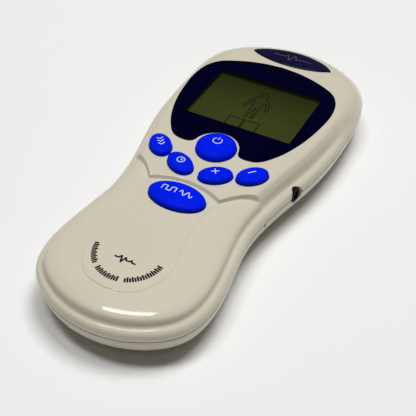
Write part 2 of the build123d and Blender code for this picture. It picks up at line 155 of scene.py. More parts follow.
def rim_point(along, inset):
    """Point on the outline, pulled in square to it."""
    def place(s):
        s = s % RUN[-1]
        return np.array([np.interp(s, RUN, RIM[:, 0]), np.interp(s, RUN, RIM[:, 1])])
    ahead = place(along + 0.3) - place(along - 0.3)
    ahead /= np.linalg.norm(ahead)
    return place(along) + np.array([-ahead[1], ahead[0]]) * inset


def smooth_line(points, count):
    """Even points on a soft curve through a few section points."""
    p = [Vector(q) for q in points]
    p = [2 * p[0] - p[1]] + p + [2 * p[-1] - p[-2]]
    fine = []
    for a, b, c, d in zip(p, p[1:], p[2:], p[3:]):
        for step in range(16):
            t = step / 16
            fine.append(0.5 * (2 * b + (c - a) * t + (2 * a - 5 * b + 4 * c - d) * t * t
                               + (3 * b - a - 3 * c + d) * t ** 3))
    fine.append(p[-2])
    run = [0.0]
    for a, b in zip(fine, fine[1:]):
        run.append(run[-1] + (b - a).length)
    even = np.linspace(0, run[-1], count)
    return [tuple(np.interp(e, run, [q[k] for q in fine]) for k in range(len(fine[0]))) for e in even]


def ease(t):
    """0 to 1 with soft ends."""
    t = min(max(t, 0.0), 1.0)
    return t * t * (3 - 2 * t)


# sections of the front half as (distance in from the outline, height)
RINGS = 44
SECTION_IN = 10.0
grooved = [(0.18, PARTING_Z), (0.0, 11.7), (0.5, 13.25), (1.7, 14.0), (2.75, 14.5), (3.3, 15.8),
           (3.75, 17.8), (4.9, 19.45), (6.8, 19.97), (SECTION_IN, FACE_Z)]
grip_section = [(0.18, PARTING_Z), (0.0, 11.7), (0.3, 13.0), (1.1, 13.85), (2.2, 14.3), (2.7, 14.9),
                (2.9, 16.1), (3.3, 17.1), (4.3, 17.8), (6.0, 18.42), (8.0, 18.85), (SECTION_IN, GRIP_Z)]
plain = [(0.18, PARTING_Z), (0.0, 11.7), (0.2, 13.3), (1.0, 15.1), (2.4, 16.8), (4.2, 18.25),
         (6.3, 19.2), (8.1, 19.7), (SECTION_IN, FACE_Z)]
grooved, grip_section, plain = [smooth_line(s, RINGS) for s in (grooved, grip_section, plain)]

CHEVRON_POINT = (12.9, -20.7)
CHEVRON_END = (23.4, -11.6)
CHEVRON_TOP_Y = -17.3
WING_BOW = 0.12


def chevron(x):
    """Y of the plateau's lower edge at x: an arch over the mode key, then a wing."""
    if x <= CHEVRON_POINT[0]:
        return CHEVRON_TOP_Y + (CHEVRON_POINT[1] - CHEVRON_TOP_Y) * (x / CHEVRON_POINT[0]) ** 2
    q = (x - CHEVRON_POINT[0]) / (CHEVRON_END[0] - CHEVRON_POINT[0])
    bow = WING_BOW * math.sin(math.pi * min(q, 1))
    return CHEVRON_POINT[1] + (CHEVRON_END[1] - CHEVRON_POINT[1]) * (q + bow)


def grip_sag(x, y):
    """How far the hand-held face drops below its highest level."""
    return 0.45 * (x / 21) ** 2 + 1.0 * max(0.0, (-y - 32) / 45) ** 2


def far_sag(y):
    """How far the plateau rolls off towards the far end."""
    return 1.0 * max(0.0, (y - 43) / 24) ** 2


STEP_RUN = 0.55         # half the length of the step down from plateau to grip
edge_s = HALF_RUN * 0.36
for _ in range(40):     # where the chevron's row starts on the outline
    start = rim_point(edge_s, SECTION_IN)
    edge_s -= start[1] - chevron(start[0])
CHEVRON_X = rim_point(edge_s, SECTION_IN)[0]

BEND_REACH = 22.0       # how far along the outline the chevron bends the rows
GROOVE_END_Y, GROOVE_FADE = 22.0, 30.0  # the groove runs out from here, over this length
SPINE_REACH = 58.0      # the rows fan out from a middle line that ends here
SLIDE_LEAST = 3.6       # rows nearer the outline than this slide together
SAG_LOW_Z = 14.5        # the face's sag dies out down to here
RIM_IN, RIM_ROOF_Z = 2.2, 12.3          # inside of the rim
PILLOW_IN, PILLOW_LOW_Z = 5.2, 12.5     # inside of the pillow
INSIDE = [(RIM_IN, PARTING_Z), (RIM_IN, RIM_ROOF_Z), (PILLOW_IN, PILLOW_LOW_Z), (PILLOW_IN, ROOF_Z)]

stations = list(np.linspace(0, edge_s - 1.6, 96))
stations += list(edge_s + np.linspace(-1.2, 1.2, 17))
stations += list(np.linspace(edge_s + 1.6, HALF_RUN, 124))
tip = CHEVRON_POINT[0] / CHEVRON_X
COLUMNS = list(np.linspace(0, tip, 11)) + list(np.linspace(tip, 1, 7)[1:])


def spine(y):
    """Middle line point that a row at y starts from."""
    return SPINE_REACH * math.tanh(y / SPINE_REACH)


def at_middle(s):
    """True at the two stations on the middle line."""
    return s < 1e-6 or s > HALF_RUN - 1e-6


def case_row(s):
    """Section of the front half at one station: spine, face, rim, then back up inside."""
    near = ease(1 - abs(s - edge_s) / BEND_REACH)
    below = ease(0.5 - (s - edge_s) / (2 * STEP_RUN))
    home = rim_point(s, SECTION_IN)
    fade = ease((home[1] - GROOVE_END_Y) / GROOVE_FADE)
    spine_y = spine(home[1])
    row = []
    for u in COLUMNS:
        straight = spine_y + (home[1] - spine_y) * u
        bent = home[1] + chevron(u * CHEVRON_X) - chevron(CHEVRON_X)
        x, y = home[0] * u, straight + near * (bent - straight)
        row.append((x, y, FACE_Z - far_sag(y) - below * (FACE_Z - GRIP_Z + grip_sag(x, y))))
    for k in range(RINGS - 2, -1, -1):
        g, h, p = grooved[k], grip_section[k], plain[k]
        inset, z = [(g[n] + (h[n] - g[n]) * below) * (1 - fade) + p[n] * fade for n in (0, 1)]
        reach = max(inset, SLIDE_LEAST)
        slide = near * (chevron(CHEVRON_X + SECTION_IN - reach) - chevron(CHEVRON_X))
        x, y = rim_point(s + slide, inset)
        lift = max(0.0, (z - SAG_LOW_Z) / (GRIP_Z - SAG_LOW_Z))
        row.append((x, y, z - (below * grip_sag(*home) + far_sag(home[1])) * lift))
    for inset, z in INSIDE:
        x, y = rim_point(s, inset)
        row.append((x, y, z))
    row.append((0, spine_y, ROOF_Z))
    return [(0.0 if at_middle(s) else x, y, z) for x, y, z in row]


WELD = 2e-7             # points closer than this, in metres, are one


def skin(name, rows, closed=False):
    """Mesh object from rows of points in millimetres, with quads between neighbouring rows."""
    mesh = bmesh.new()
    grid = [[mesh.verts.new(Vector(p) * MM) for p in row] for row in rows]
    pairs = list(zip(grid, grid[1:])) + ([(grid[-1], grid[0])] if closed else [])
    for a, b in pairs:
        for k in range(len(a) - 1):
            mesh.faces.new((a[k], b[k], b[k + 1], a[k + 1]))
    bmesh.ops.remove_doubles(mesh, verts=mesh.verts, dist=WELD)
    bmesh.ops.dissolve_degenerate(mesh, dist=WELD / 2, edges=mesh.edges)
    bmesh.ops.recalc_face_normals(mesh, faces=mesh.faces)
    data = bpy.data.meshes.new(name)
    mesh.to_mesh(data)
    mesh.free()
    thing = bpy.data.objects.new(name, data)
    scene.collection.objects.link(thing)
    return thing


def settle(thing, crease=35):
    """Bake the modifiers into the mesh and shade it smooth between sharp edges."""
    seen = thing.evaluated_get(bpy.context.evaluated_depsgraph_get())
    baked = bpy.data.meshes.new_from_object(seen)
    thing.modifiers.clear()
    thing.data = baked
    baked.shade_smooth()
    baked.set_sharp_from_angle(angle=math.radians(crease))
    return thing


def mirrored(thing):
    """Add the left half."""
    left_half = thing.modifiers.new("left_half", "MIRROR")
    left_half.merge_threshold = WELD * 10
    return settle(thing)


def prism(name, outline, z0, z1):
    """Upright block over a closed plan outline in millimetres."""
    mesh = bmesh.new()
    low = [mesh.verts.new(Vector((x, y, z0)) * MM) for x, y in outline]
    high = [mesh.verts.new(Vector((x, y, z1)) * MM) for x, y in outline]
    mesh.faces.new(low[::-1])
    mesh.faces.new(high)
    for n in range(len(low)):
        m = (n + 1) % len(low)
        mesh.faces.new((low[n], low[m], high[m], high[n]))
    bmesh.ops.recalc_face_normals(mesh, faces=mesh.faces)
    data = bpy.data.meshes.new(name)
    mesh.to_mesh(data)
    mesh.free()
    thing = bpy.data.objects.new(name, data)
    scene.collection.objects.link(thing)
    return thing


def turned(name, x, y, z, axis, profile, steps=48):
    """Lathe shape on an axis through x, y, z; profile is (distance along the axis, radius)."""
    along = Vector(axis).normalized()
    side = along.orthogonal().normalized()
    other = along.cross(side)
    rows = []
    for n in range(steps):
        a = 2 * math.pi * n / steps
        out = side * math.cos(a) + other * math.sin(a)
        rows.append([Vector((x, y, z)) + along * d + out * r for d, r in profile])
    return skin(name, rows, closed=True)


def carve(thing, cutters, crease=35):
    """Cut the cutters out of the thing and throw them away."""
    for cutter in cutters:
        cut = thing.modifiers.new("cut", "BOOLEAN")
        cut.operation = "DIFFERENCE"
        cut.solver = "EXACT"
        cut.object = cutter
    settle(thing, crease)
    for cutter in cutters:
        bpy.data.objects.remove(cutter)


def ellipse(x, y, half_length, half_width, degrees, steps=96):
    """Points of a turned ellipse."""
    c, s = math.cos(math.radians(degrees)), math.sin(math.radians(degrees))
    points = []
    for n in range(steps):
        a = 2 * math.pi * n / steps
        u, v = half_length * math.cos(a), half_width * math.sin(a)
        points.append((x + u * c - v * s, y + u * s + v * c))
    return points


# half length, half width, turn, and level of the face round the key; the middle
# comes from the CAD cap
KEY_SIZES = {
    "on_off_key": (6.95, 6.95, 0.0, FACE_Z),
    "mode_key": (10.0, 5.8, 0.0, GRIP_Z),
    "time_key": (5.75, 3.75, -31.5, FACE_Z),
    "strong_key": (5.75, 3.75, 31.5, FACE_Z),
    "channel_key": (5.55, 3.75, -47.5, FACE_Z),
    "weak_key": (5.55, 3.75, 47.5, FACE_Z),
}
KEY_PLAY = 0.25


def middle(node):
    """Centre of a CAD node in plan, in millimetres."""
    low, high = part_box(node)
    return (low[0] + high[0]) / 2 / MM, (low[1] + high[1]) / 2 / MM


LENS_HEAD = [(0, 57.2), (7.0, 56.5), (13.4, 54.9), (19.3, 52.5), (23.8, 49.6), (26.9, 44.5),
             (28.0, 37.0), (27.2, 27.5), (25.4, 18.8), (22.4, 10.5), (18.7, 4.3), (15.8, 1.6),
             (12.4, 0.8), (9.5, 1.2), (8.2, 2.8)]
HUG_CENTRE, HUG_RADIUS = (0, 1.9), 8.2
HUG_START, HUG_STEPS = 6.5, 24
LENS_LEFT = 0.6         # the window sits a little left of the middle


def lens_outline():
    """Broad head, two lobes, and the arc that hugs the round key."""
    head = smooth_line(LENS_HEAD, 90)
    hug = []
    for n in range(1, HUG_STEPS):
        a = math.radians(HUG_START + (90 - HUG_START) * n / HUG_STEPS)
        hug.append((HUG_CENTRE[0] + HUG_RADIUS * math.cos(a), HUG_CENTRE[1] + HUG_RADIUS * math.sin(a)))
    right = head + hug + [(0, HUG_CENTRE[1] + HUG_RADIUS)]
    return [(x - LENS_LEFT, y) for x, y in right + [(-x, y) for x, y in reversed(right[1:-1])]]


LENS_FLOOR = 18.95
VIEW = (-20.4, 15.7, 20.8, 45.2)
JACK_Z, SIDE_JACK_Y, OUT_JACK_X, JACK_HOLE_R = 11.2, 2.5, 10.0, 2.85
RIGHT_SIDE = OUTLINE_SAMPLES // 2
JACK_WALL_X = np.interp(SIDE_JACK_Y, RIM[:RIGHT_SIDE, 1], RIM[:RIGHT_SIDE, 0])
END_WALL_Y = 76.9
JACK_HOLE = [(-9, 0), (-9, JACK_HOLE_R), (2, JACK_HOLE_R), (2, 0)]      # along the axis from the wall


def jack_cutters():
    """Round holes, one in the side wall and two in the end wall."""
    cutters = [turned("side_hole", JACK_WALL_X, SIDE_JACK_Y, JACK_Z, (1, 0, 0), JACK_HOLE)]
    for x in (-OUT_JACK_X, OUT_JACK_X):
        cutters.append(turned("end_hole", x, END_WALL_Y, JACK_Z, (0, 1, 0), JACK_HOLE))
    return cutters


front_case = mirrored(skin("front_case", [case_row(s) for s in stations]))
face_tree = BVHTree.FromObject(front_case, bpy.context.evaluated_depsgraph_get())


def face_z(x, y):
    """Height of the uncut front at x, y, in millimetres."""
    hit = face_tree.ray_cast(Vector((x, y, 40)) * MM, Vector((0, 0, -1)))[0]
    return hit.z / MM


# the cutters only have to reach past the face on both sides
cutters = jack_cutters()
for key, (half_length, half_width, turn, _) in KEY_SIZES.items():
    x, y = middle(key)
    hole = ellipse(x, y, half_length + KEY_PLAY, half_width + KEY_PLAY, turn)
    cutters.append(prism("key_hole", hole, 15, 23))
cutters.append(prism("lens_recess", lens_outline(), LENS_FLOOR, 23))
x0, y0, x1, y1 = VIEW
opening = [(x0 - 1, y0 - 1), (x1 + 1, y0 - 1), (x1 + 1, y1 + 1), (x0 - 1, y1 + 1)]
cutters.append(prism("window", opening, 15, 22))
carve(front_case, cutters)


def even_shading(thing, weight=50):
    """Let the large faces decide how the edges are shaded."""
    shading = thing.modifiers.new("even_shading", "WEIGHTED_NORMAL")
    shading.keep_sharp = True
    shading.weight = weight


even_shading(front_case)
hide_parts("upper_case")
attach(front_case, "case")


DRIFT_SCALE, PATCH_SCALE = 40, 90       # per metre


def tint_variation(tree, colour, spread, scale):
    """Colour that wanders a little over the surface."""
    place = tree.nodes.new("ShaderNodeTexCoord")
    noise = tree.nodes.new("ShaderNodeTexNoise")
    noise.inputs["Scale"].default_value = scale
    noise.inputs["Detail"].default_value = 4
    ramp = tree.nodes.new("ShaderNodeValToRGB")
    ramp.color_ramp.elements[0].position = 0.3
    ramp.color_ramp.elements[1].position = 0.7
    ramp.color_ramp.elements[0].color = (*[c * (1 - spread) for c in colour], 1)
    ramp.color_ramp.elements[1].color = (*[min(1, c * (1 + spread)) for c in colour], 1)
    tree.links.new(place.outputs["Object"], noise.inputs["Vector"])
    tree.links.new(noise.outputs["Fac"], ramp.inputs["Fac"])
    return ramp.outputs["Color"], place


def moulded(name, colour, rough, spread=0.03, grain=0.05, grain_scale=2500, coat=0.0, coat_rough=0.08,
            metallic=0.0, gloss=0.5):
    """Moulded plastic, rubber or metal: faint colour drift, roughness patches and a fine grain."""
    made = bpy.data.materials.new(name)
    made.use_nodes = True
    tree = made.node_tree
    shader = tree.nodes["Principled BSDF"]
    shader.inputs["Metallic"].default_value = metallic
    shader.inputs["Specular IOR Level"].default_value = gloss
    shader.inputs["Coat Weight"].default_value = coat
    shader.inputs["Coat Roughness"].default_value = coat_rough
    tint, place = tint_variation(tree, colour, spread, DRIFT_SCALE)
    tree.links.new(tint, shader.inputs["Base Color"])
    patches = tree.nodes.new("ShaderNodeTexNoise")
    patches.inputs["Scale"].default_value = PATCH_SCALE
    span = tree.nodes.new("ShaderNodeMapRange")
    span.inputs["To Min"].default_value = rough * 0.85
    span.inputs["To Max"].default_value = rough * 1.2
    tree.links.new(place.outputs["Object"], patches.inputs["Vector"])
    tree.links.new(patches.outputs["Fac"], span.inputs["Value"])
    tree.links.new(span.outputs["Result"], shader.inputs["Roughness"])
    fine = tree.nodes.new("ShaderNodeTexNoise")
    fine.inputs["Scale"].default_value = grain_scale
    bump = tree.nodes.new("ShaderNodeBump")
    bump.inputs["Strength"].default_value = grain
    bump.inputs["Distance"].default_value = 0.0001
    tree.links.new(place.outputs["Object"], fine.inputs["Vector"])
    tree.links.new(fine.outputs["Fac"], bump.inputs["Height"])
    tree.links.new(bump.outputs["Normal"], shader.inputs["Normal"])
    return made


def paint(thing, material):
    """Give a piece its one material."""
    thing.data.materials.clear()
    thing.data.materials.append(material)


def repaint(node, material):
    """Give a carried-over CAD node a finished material."""
    for face_slot in bpy.data.objects[node].material_slots:
        face_slot.material = material


cream = moulded("cream_abs", (0.645, 0.60, 0.475), 0.34, spread=0.02, grain=0.03, coat=0.55, coat_rough=0.04,
                gloss=0.2)
paint(front_case, cream)

# ---- back case half ----------------------------------------------------------
# The ABS tub: a low band under the parting line that pulls in to a flat base,
# with a lip that locates the front half and an opening for the battery door.
SEAM = 0.3
LIP_TOP_Z = 12.0
tub_out = smooth_line([(7.9, 0.0), (6.9, 0.22), (5.7, 0.95), (4.3, 2.15), (2.9, 3.6), (1.6, 5.2), (0.7, 6.8),
                       (0.25, 8.4), (0.1, 9.6), (0.18, PARTING_Z - SEAM)], 26)
FLOOR = 1.8
tub_in = [(2.3, PARTING_Z - SEAM), (2.3, LIP_TOP_Z), (3.2, LIP_TOP_Z), (3.2, 8.2), (4.6, 5.0), (6.6, 2.7),
          (8.6, FLOOR)]
BASE_IN = 9.0
BASE_COLUMNS = [0, 0.3, 0.6, 0.85, 1.0]


def tub_row(s):
    """Section of the back half at one station: base, outside, lip, inside, floor."""
    spine_y = spine(rim_point(s, SECTION_IN)[1])
    foot = rim_point(s, BASE_IN)
    row = [(foot[0] * u, spine_y + (foot[1] - spine_y) * u, 0.0) for u in BASE_COLUMNS]
    row += [(*rim_point(s, inset), z) for inset, z in tub_out + tub_in]
    row.append((0, spine_y, FLOOR))
    return [(0.0 if at_middle(s) else x, y, z) for x, y, z in row]


BAY_X, BAY_Y0, BAY_Y1, BAY_TOP, BAY_WALL = 16.3, -64.5, -16.0, 12.6, 1.2
DOOR_LAP, DOOR_CORNER = 1.3, 5.0
CASE_SCREWS = [(-20.7, -56.0), (20.7, -56.0), (-19.5, 61.0), (19.5, 61.0)]


def rounded_box(x0, y0, x1, y1, radius, steps=8):
    """Plan outline of a rectangle with round corners."""
    points = []
    for cx, cy, start in ((x1 - radius, y0 + radius, -90), (x1 - radius, y1 - radius, 0),
                          (x0 + radius, y1 - radius, 90), (x0 + radius, y0 + radius, 180)):
        for n in range(steps + 1):
            a = math.radians(start + 90 * n / steps)
            points.append((cx + radius * math.cos(a), cy + radius * math.sin(a)))
    return points


def grown_bay(by, radius):
    """Plan outline of the battery bay, grown on all sides."""
    return rounded_box(-BAY_X - by, BAY_Y0 - by, BAY_X + by, BAY_Y1 + by, radius)


back_case = mirrored(skin("back_case", [tub_row(s) for s in np.linspace(0, HALF_RUN, 150)]))
bay_plan = grown_bay(0, 0.4)
cutters = jack_cutters()
cutters.append(prism("door_rebate", grown_bay(DOOR_LAP, DOOR_CORNER), -1, 1.55))
cutters.append(prism("bay_mouth", bay_plan, -1, 3))
cutters.append(prism("pry_notch", rounded_box(26.2, -15.1, 30, -13.9, 0.2), 9.2, 11))
SCREW_HOLE = [(0, 0), (0, 2.9), (1.0, 2.9), (1.5, 2.4), (7, 2.4), (7, 0)]
for x, y in CASE_SCREWS:
    cutters.append(turned("screw_hole", x, y, -1, (0, 0, 1), SCREW_HOLE))
carve(back_case, cutters)
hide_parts("lower_case")
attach(back_case, "case")
paint(back_case, cream)

bay = prism("battery_bay", grown_bay(BAY_WALL, 1.0), FLOOR - 0.2, BAY_TOP + 1)
cutters = [prism("bay_room", bay_plan, 0, BAY_TOP)]
TAB_X, TAB_SLOT = 5.4, 1.9
for x in (-TAB_X, TAB_X):
    slot = rounded_box(x - TAB_SLOT, BAY_Y0 - 3, x + TAB_SLOT, BAY_Y0 + 1, 0.1)
    cutters.append(prism("tab_slot", slot, 0, 3.9))
carve(bay, cutters)
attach(bay, "case")
paint(bay, cream)

BOSS = [(1.2, 3.0), (10.4, 3.0), (10.6, 2.8), (10.6, 1.4), (5, 1.4), (5, 2.45), (1.2, 2.45)]
for number, (x, y) in enumerate(CASE_SCREWS, 1):
    boss = turned("screw_boss_%d" % number, x, y, 0, (0, 0, 1), BOSS, steps=32)
    settle(boss)
    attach(boss, "case")
    paint(boss, cream)

# ---- battery door ------------------------------------------------------------
# Moulded ABS flap, two tabs at the foot, thumb scoop at the other end, with
# low grip ridges and a paper label.
door_skin = moulded("cream_door", (0.56, 0.515, 0.41), 0.34, spread=0.03, grain=0.10, grain_scale=1600)
repaint("battery_door", door_skin)
door_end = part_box("battery_door")[1][1] / MM
RIDGES, RIDGE_PITCH, RIDGE_HALF, RIDGE_WIDTH = 6, 1.6, 6.0, 0.7
RIDGES_IN = 11.5        # first ridge from the door's thumb end
for n in range(RIDGES):
    ridge_y = door_end - RIDGES_IN - RIDGE_PITCH * n
    plan = rounded_box(-RIDGE_HALF, ridge_y, RIDGE_HALF, ridge_y + RIDGE_WIDTH, 0.34)
    ridge = prism("door_ridge_%d" % (n + 1), plan, 0.0, 0.3)
    soften = ridge.modifiers.new("soften", "BEVEL")
    soften.width = 0.12 * MM
    soften.segments = 2
    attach(ridge, "battery_door")
    paint(ridge, door_skin)

paper_label = moulded("paper_label", (0.72, 0.71, 0.68), 0.55, spread=0.03, grain=0.25, grain_scale=4000)
repaint("rating_label", paper_label)
black_ink = moulded("black_ink", (0.006, 0.006, 0.006), 0.45, spread=0.2, grain=0.1, gloss=0.1)


INK_STEP = 0.12


def ribbon(name, strokes, width, height, lift, body, material, down=False):
    """Printed strokes: flat bands laid along plan paths on a surface of the given height."""
    mesh = bmesh.new()
    side = -1 if down else 1
    for stroke in strokes:
        p = np.array(stroke, float)
        run = np.concatenate([[0], np.cumsum(np.linalg.norm(np.diff(p, axis=0), axis=1))])
        count = max(2, int(run[-1] / INK_STEP) + 1)
        even = np.linspace(0, run[-1], count)
        p = np.stack([np.interp(even, run, p[:, k]) for k in (0, 1)], 1)
        ahead = np.gradient(p, axis=0)
        ahead /= np.linalg.norm(ahead, axis=1)[:, None] + 1e-9
        across = np.stack([-ahead[:, 1], ahead[:, 0]], 1) * width / 2
        last = None
        for a, b in zip(p + across, p - across):
            pair = [mesh.verts.new(Vector((q[0], q[1], height(*q) + side * lift)) * MM) for q in (a, b)]
            if last:
                mesh.faces.new((last[0], last[1], pair[1], pair[0])[::side])
            last = pair
    data = bpy.data.meshes.new(name)
    mesh.to_mesh(data)
    mesh.free()
    thing = bpy.data.objects.new(name, data)
    scene.collection.objects.link(thing)
    data.shade_smooth()
    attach(thing, body)
    paint(thing, material)
    return thing


def box_path(x0, y0, x1, y1):
    """Closed rectangle as one stroke."""
    return [(x0, y0), (x1, y0), (x1, y1), (x0, y1), (x0, y0)]


def label_z(x, y):
    """Outer side of the label."""
    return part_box("rating_label")[0][2] / MM


# three battery outlines with their nubs, a plus at the nub end and a minus at the other
MARK_Y, MARK_PITCH, MARK_LENGTH, MARK_WIDTH, NUB = -43.75, 6.6, 7.25, 2.2, 0.95
SIGN_Y, SIGN = 4.8, 0.8
marks = []
for n, way in ((-1, 1), (0, -1), (1, 1)):
    x, nub_y = MARK_PITCH * n, MARK_Y + way * MARK_LENGTH
    plus_y, minus_y = MARK_Y + way * SIGN_Y, MARK_Y - way * SIGN_Y
    marks.append(box_path(x - MARK_WIDTH, MARK_Y - MARK_LENGTH, x + MARK_WIDTH, MARK_Y + MARK_LENGTH))
    marks.append(box_path(x - SIGN, nub_y, x + SIGN, nub_y + way * NUB))
    marks.append([(x - SIGN, plus_y), (x + SIGN, plus_y)])
    marks.append([(x, plus_y - SIGN), (x, plus_y + SIGN)])
    marks.append([(x - SIGN, minus_y), (x + SIGN, minus_y)])
ribbon("label_marks", marks, 0.28, label_z, 0.02, "battery_door", black_ink, down=True)

# ---- grip panel and printed marks --------------------------------------------
# A tongue of the face stands a hair proud below the mode key; near the foot it
# carries an arc of ticks and a small pulse mark in black ink.
PANEL_LIFT = 0.16
EDGE_COLUMNS = (1.6, 0.7, 0.35, 0.15, 0.05, 0.0)
EDGE_RUN, EDGE_SINK = 0.32, 0.04        # width of the soft edge, and how deep it starts
HUG_FROM_Y, HUG_RUN = -34.0, 13.0       # from here up the rows bend to follow the chevron
STEP_GAP, LIFT_RUN = 0.3, 2.5           # the panel stops short of the step and sinks into the face
PANEL_SIDE = [(12.75, -20.9), (11.9, -26.0), (11.35, -32.0), (11.7, -38.5), (13.1, -45.5), (14.25, -52.0),
              (13.6, -57.6), (10.9, -62.4), (6.4, -65.9), (0.0, -67.1)]
panel_side = np.array(smooth_line(PANEL_SIDE, 90))


def panel_row(i):
    """One row across the tongue, edge to edge."""
    reach, y = panel_side[i]
    row = []
    inner = [max(0.0, reach - d) for d in EDGE_COLUMNS]
    columns = [-x for x in reversed(inner)] + list(np.linspace(-inner[0], inner[0], 15)[1:-1]) + inner
    for x in columns:
        below = chevron(abs(x)) - STEP_RUN - STEP_GAP
        hug = ease((y - HUG_FROM_Y) / HUG_RUN) * (below - PANEL_SIDE[0][1])
        edge = np.min(np.hypot(panel_side[:, 0] - abs(x), panel_side[:, 1] - y))
        lift = PANEL_LIFT * ease(0.15 + edge / EDGE_RUN) * ease((below - y - hug) / LIFT_RUN)
        lift -= EDGE_SINK * (edge < 0.02)
        row.append((x, y + hug, face_z(x, y + hug) + lift))
    return row


grip_panel = skin("grip_panel", [panel_row(i) for i in range(len(panel_side))])
mode_x, mode_y = middle("mode_key")
mode_length, mode_width = KEY_SIZES["mode_key"][:2]
play = KEY_PLAY + 0.15
mode_hole = ellipse(mode_x, mode_y, mode_length + play, mode_width + play, 0)
carve(grip_panel, [prism("mode_hole", mode_hole, 15, 23)])
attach(grip_panel, "case")
paint(grip_panel, cream)

ARC_CENTRE, ARC_RADIUS = (-0.3, -52.0), 11.0
TICKS, ARC_START, ARC_SWEEP = 42, 188, 166
TICKS_LEFT_OUT = (11, 12, 24, 25)
SHORT_TICK, LONG_TICK, OUTER_TICK = 0.6, 1.0, 0.9
INK_LIFT = 0.03
ticks = []
for n in range(TICKS):
    if n in TICKS_LEFT_OUT:
        continue
    a = math.radians(ARC_START + ARC_SWEEP * n / (TICKS - 1))
    reach = (ARC_RADIUS - (LONG_TICK if n % 2 else SHORT_TICK), ARC_RADIUS + OUTER_TICK)
    ticks.append([(ARC_CENTRE[0] + r * math.cos(a), ARC_CENTRE[1] + r * math.sin(a)) for r in reach])
ribbon("printed_arc", ticks, 0.6, face_z, PANEL_LIFT + INK_LIFT, "case", black_ink)
pulse = [(-3.8, -55.5), (-2.3, -55.5), (-1.7, -54.4), (-0.9, -56.9), (-0.2, -54.6), (0.3, -55.6),
         (1.5, -55.6), (2.0, -54.9), (2.4, -55.7), (3.7, -55.7)]
ribbon("printed_pulse", [pulse], 0.55, face_z, PANEL_LIFT + INK_LIFT, "case", black_ink)

# ---- keys --------------------------------------------------------------------
# Six domed caps of self-coloured ABS, each with its legend pad-printed in
# white as a plain symbol.
KEY_SKIRT = 1.05        # straight side of a cap above the face
CROWN_BASE, CROWN_RISE = 0.62, 0.185    # a wider cap is domed higher
CAP_RINGS = (0, 0.2, 0.4, 0.58, 0.72, 0.83, 0.9, 0.945, 0.975, 0.992, 1.0)
FLANGE, FLANGE_Z, FLANGE_TOP_Z = 0.45, 16.6, 17.5
blue = moulded("blue_abs", (0.0, 0.013, 0.82), 0.45, spread=0.05, grain=0.05, gloss=0.03)
white_ink = moulded("white_ink", (0.62, 0.68, 0.95), 0.5, spread=0.05, grain=0.1)


def dome(rho, half_width, face):
    """Height of a cap at a fraction rho of its half width."""
    crown = CROWN_BASE + CROWN_RISE * half_width
    return face + KEY_SKIRT + crown * (1 - min(rho, 1.0) ** 2.6) ** 0.55


def key_cap(node):
    """Cap with its retaining flange."""
    half_length, half_width, turn, face = KEY_SIZES[node]
    x, y = middle(node)
    levels = [(r, dome(r, half_width, face)) for r in CAP_RINGS]
    rings = [(ellipse(x, y, half_length * r, half_width * r, turn), z) for r, z in levels]
    rings.append((ellipse(x, y, half_length, half_width, turn), FLANGE_TOP_Z))
    for z in (FLANGE_TOP_Z, FLANGE_Z):
        rings.append((ellipse(x, y, half_length + FLANGE, half_width + FLANGE, turn), z))
    rings.append((ellipse(x, y, 0.01, 0.01, turn), FLANGE_Z))
    steps = len(rings[0][0])
    sections = [[(*outline[n], z) for outline, z in rings] for n in range(steps)]
    return skin(node + "_cap", sections, closed=True)


def key_height(node):
    """Height of the cap's top at x, y."""
    half_length, half_width, turn, face = KEY_SIZES[node]
    cx, cy = middle(node)
    c, s = math.cos(math.radians(turn)), math.sin(math.radians(turn))

    def height(x, y):
        u, v = (x - cx) * c + (y - cy) * s, -(x - cx) * s + (y - cy) * c
        return dome(math.hypot(u / half_length, v / half_width), half_width, face)
    return height


def arc(cx, cy, radius, start, end, steps=28):
    """Arc as a stroke, angles in degrees."""
    span = [math.radians(start + (end - start) * n / steps) for n in range(steps + 1)]
    return [(cx + radius * math.cos(a), cy + radius * math.sin(a)) for a in span]


square_wave = [(-5.4, -1.0), (-5.4, 1.0), (-3.8, 1.0), (-3.8, -1.0), (-2.2, -1.0), (-2.2, 1.0), (-0.6, 1.0),
               (-0.6, -1.0)]
sine_wave = [(0.8 + 0.1 * n, 1.0 * math.sin(2 * math.pi * n / 23)) for n in range(47)]
chevrons = [[(x, -0.9), (x + 0.9, 0.2), (x, 1.3)] for x in (-2.0, -0.5, 1.0)]
# each legend is drawn about its own middle: strokes, then its place and turn on the cap
LEGENDS = {
    "on_off_key": ([arc(0, 0, 1.55, 125, 415), [(0, 0.5), (0, 2.1)]], (0, 1.0), 0),
    "mode_key": ([square_wave, sine_wave], (0, 0.5), 0),
    "time_key": ([arc(0, 0, 1.3, 0, 360), [(0, 0.85), (0, 0), (0.65, 0)]], (0.2, 0.2), -31.5),
    "strong_key": ([[(-1.3, 0), (1.3, 0)], [(0, -1.3), (0, 1.3)]], (0, 0.3), 31.5),
    "weak_key": ([[(-1.4, 0), (1.4, 0)]], (0, 0.3), 47.5),
    "channel_key": (chevrons, (0, 0.0), -47.5),
}
for node, (strokes, place, turn) in LEGENDS.items():
    cap = settle(key_cap(node), crease=50)
    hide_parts(node)
    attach(cap, node)
    paint(cap, blue)
    cx, cy = middle(node)
    c, s = math.cos(math.radians(turn)), math.sin(math.radians(turn))
    placed = []
    for stroke in strokes:
        placed.append([(cx + (place[0] + x) * c - (place[1] + y) * s,
                        cy + (place[0] + x) * s + (place[1] + y) * c) for x, y in stroke])
    ribbon(node + "_legend", placed, 0.36, key_height(node), INK_LIFT, node, white_ink)

# ---- display window ----------------------------------------------------------
# Acrylic window glued into the face: its back is printed dark blue except for
# the clear rectangle over the display.
lens_ink = moulded("dark_blue_window", (0.0006, 0.0003, 0.013), 0.12, spread=0.25, grain=0.02,
                   grain_scale=300, gloss=0.05)
LENS_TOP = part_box("display_lens")[1][2] / MM


